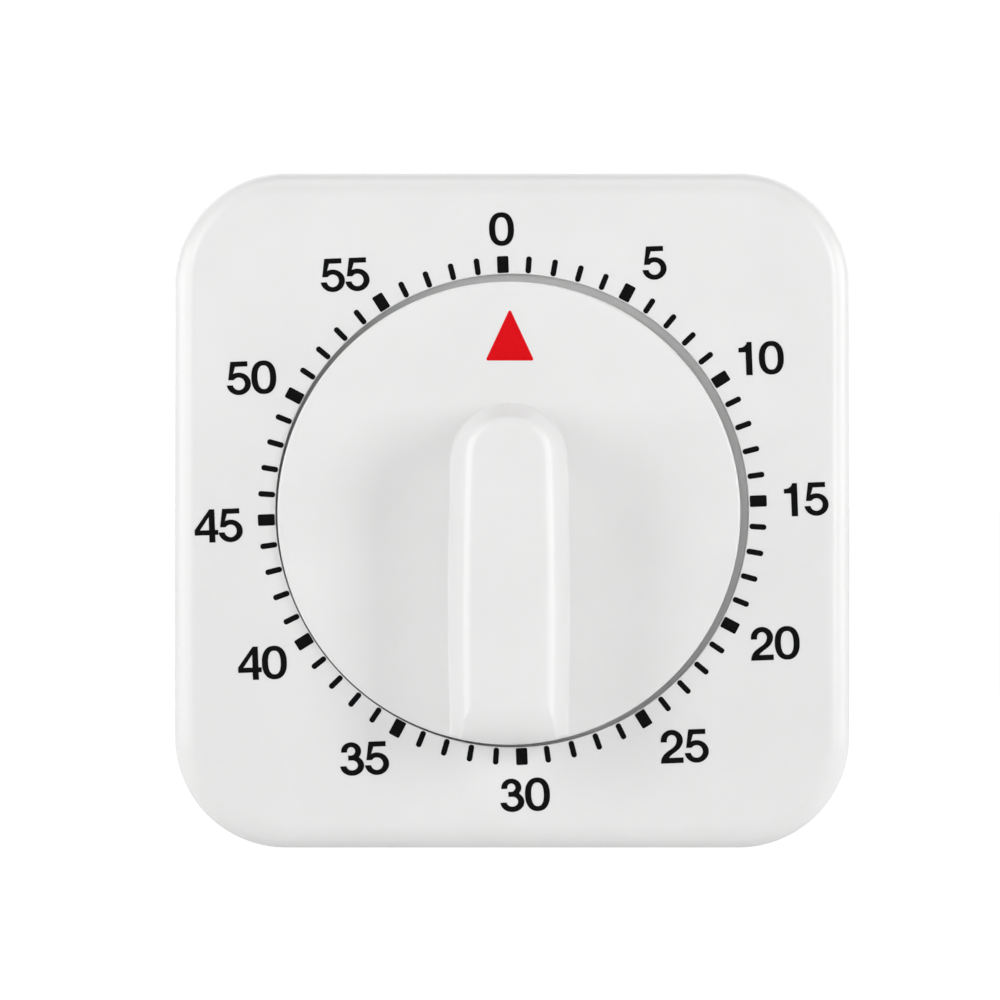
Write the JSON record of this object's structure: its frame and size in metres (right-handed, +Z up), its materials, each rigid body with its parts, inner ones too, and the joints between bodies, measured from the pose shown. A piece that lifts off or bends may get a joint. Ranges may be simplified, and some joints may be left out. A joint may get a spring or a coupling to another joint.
{
  "type": "mechanical lab timer",
  "caption": "Square mechanical lab timer with a round turning knob, bar grip, red pointer, printed minute dial, clockwork and bell.",
  "frame": {"origin": "centre of the flat bottom face that the timer stands on", "axes": "+X to the right seen from the front, +Y from the front to the back, +Z up"},
  "size_m": [0.07, 0.0378, 0.07],
  "materials": {
    "case_plastic": "white moulded ABS, satin gloss",
    "knob_plastic": "white moulded ABS, satin gloss",
    "pointer_red": "red inlay",
    "plate_brass": "rolled brass",
    "wheel_brass": "cut brass",
    "arbor_steel": "turned steel",
    "pressed_steel": "pressed steel",
    "spring_steel": "blued spring steel",
    "screw_steel": "zinc-plated steel",
    "bell_steel": "plated steel"
  },
  "bodies": {
    "case": {"front_housing": "case_plastic", "rear_cover": "case_plastic", "case_screws": "screw_steel", "front_plate": "plate_brass", "back_plate": "plate_brass", "pillars": "pressed_steel", "pillar_nuts": "screw_steel", "movement_screws": "screw_steel", "stop_pin": "arbor_steel", "lever_stud": "arbor_steel", "lever_spring": "spring_steel", "bell": "bell_steel", "bell_post": "arbor_steel", "bell_screw": "screw_steel"},
    "knob_assembly": {"knob": "knob_plastic", "red_pointer": "pointer_red", "knob_clip": "spring_steel", "main_arbor": "arbor_steel", "release_cam": "wheel_brass", "great_wheel": "wheel_brass", "ratchet_wheel": "pressed_steel", "click_rivet": "arbor_steel", "click_spring": "spring_steel"},
    "click_pawl": {"click": "pressed_steel"},
    "second_arbor_assembly": {"second_arbor": "arbor_steel", "second_wheel": "wheel_brass"},
    "third_arbor_assembly": {"third_arbor": "arbor_steel", "third_wheel": "wheel_brass"},
    "escape_arbor_assembly": {"escape_arbor": "arbor_steel", "escape_wheel": "wheel_brass"},
    "balance": {"balance_staff": "arbor_steel", "balance_arm": "pressed_steel", "balance_wheel": "wheel_brass", "pallet_pins": "arbor_steel"},
    "bell_drive": {"bell_wheel": "wheel_brass", "spring_post": "arbor_steel", "mainspring": "spring_steel"},
    "star_arbor_assembly": {"star_arbor": "arbor_steel", "star_wheel": "pressed_steel"},
    "hammer": {"hammer_arbor": "arbor_steel", "hammer_anchor": "pressed_steel", "hammer_arm": "pressed_steel", "hammer_head": "wheel_brass", "lock_arm": "pressed_steel"},
    "release_lever_body": {"release_lever": "pressed_steel"}
  },
  "joints": [
    {"name": "knob_turn", "type": "hinge", "parent": "case", "child": "knob_assembly", "pos_m": [-0.00034, 0, 0.03474], "axis": [0, 1, 0], "range_deg": [0, 352]},
    {"name": "second_arbor_spin", "type": "hinge", "parent": "case", "child": "second_arbor_assembly", "pos_m": [-0.01766, 0, 0.04474], "axis": [0, 1, 0], "range_deg": [-3168, 0]},
    {"name": "third_arbor_spin", "type": "hinge", "parent": "case", "child": "third_arbor_assembly", "pos_m": [-0.00663, 0, 0.054], "axis": [0, 1, 0], "range_deg": [0, 25344]},
    {"name": "escape_arbor_spin", "type": "hinge", "parent": "case", "child": "escape_arbor_assembly", "pos_m": [0.00585, 0, 0.05575], "axis": [0, 1, 0], "range_deg": [-202752, 0]},
    {"name": "balance_swing", "type": "hinge", "parent": "case", "child": "balance", "pos_m": [0.01274, 0, 0.05324], "axis": [0, 1, 0], "range_deg": [-11, 11]},
    {"name": "bell_wheel_turn", "type": "hinge", "parent": "case", "child": "bell_drive", "pos_m": [-0.00034, 0, 0.03474], "axis": [0, 1, 0], "range_deg": [-120, 0]},
    {"name": "star_arbor_spin", "type": "hinge", "parent": "case", "child": "star_arbor_assembly", "pos_m": [0.01604, 0, 0.02327], "axis": [0, 1, 0], "range_deg": [0, 1080]},
    {"name": "hammer_swing", "type": "hinge", "parent": "case", "child": "hammer", "pos_m": [0.01941, 0, 0.01743], "axis": [0, 1, 0], "range_deg": [-9.5, 9.5]},
    {"name": "release_lever_tilt", "type": "hinge", "parent": "case", "child": "release_lever_body", "pos_m": [-0.01634, 0, 0.01574], "axis": [0, 1, 0], "range_deg": [-6, 0]},
    {"name": "click_lift", "type": "hinge", "parent": "knob_assembly", "child": "click_pawl", "pos_m": [0.00346, 0, 0.04132], "axis": [0, 1, 0], "range_deg": [0, 12]}
  ],
  "couplings": [
    {"joint": "second_arbor_spin", "follows": "knob_turn", "ratio": -9},
    {"joint": "third_arbor_spin", "follows": "knob_turn", "ratio": 72},
    {"joint": "escape_arbor_spin", "follows": "knob_turn", "ratio": -576},
    {"joint": "star_arbor_spin", "follows": "bell_wheel_turn", "ratio": -9}
  ]
}
